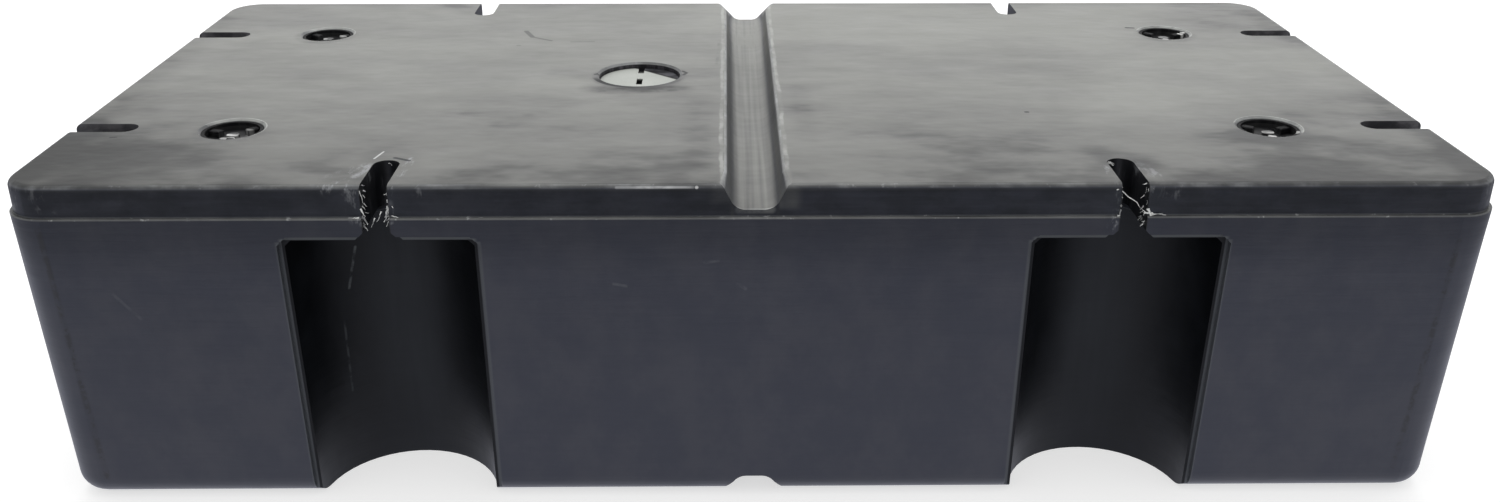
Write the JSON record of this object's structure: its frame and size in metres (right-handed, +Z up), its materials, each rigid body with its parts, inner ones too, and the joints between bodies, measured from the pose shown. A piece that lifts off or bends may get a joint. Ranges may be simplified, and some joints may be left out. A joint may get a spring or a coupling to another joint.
{
  "type": "dock float drum",
  "caption": "Low rectangular black float drum for a dock, with a flat flanged top, half-round bolt pockets under open edge slots, a cross channel above and below, and round closures in the top.",
  "frame": {"origin": "middle of the bottom face", "axes": "+X along the drum, +Z up, the long side with negative Y is the front"},
  "size_m": [1.2192, 0.6096, 0.298],
  "materials": {
    "shell_black": "black rotationally moulded polyethylene, satin skin, scuffed and dusty on top",
    "plug_black": "black injection moulded polyethylene, glossy",
    "closure_pale": "off-white plastic, matt, slightly soiled"
  },
  "bodies": {
    "root": {"float_shell": "shell_black", "fill_plug": "closure_pale", "vent_plug_front_left": "plug_black", "vent_plug_front_right": "plug_black", "vent_plug_back_left": "plug_black", "vent_plug_back_right": "plug_black"}
  },
  "joints": []
}
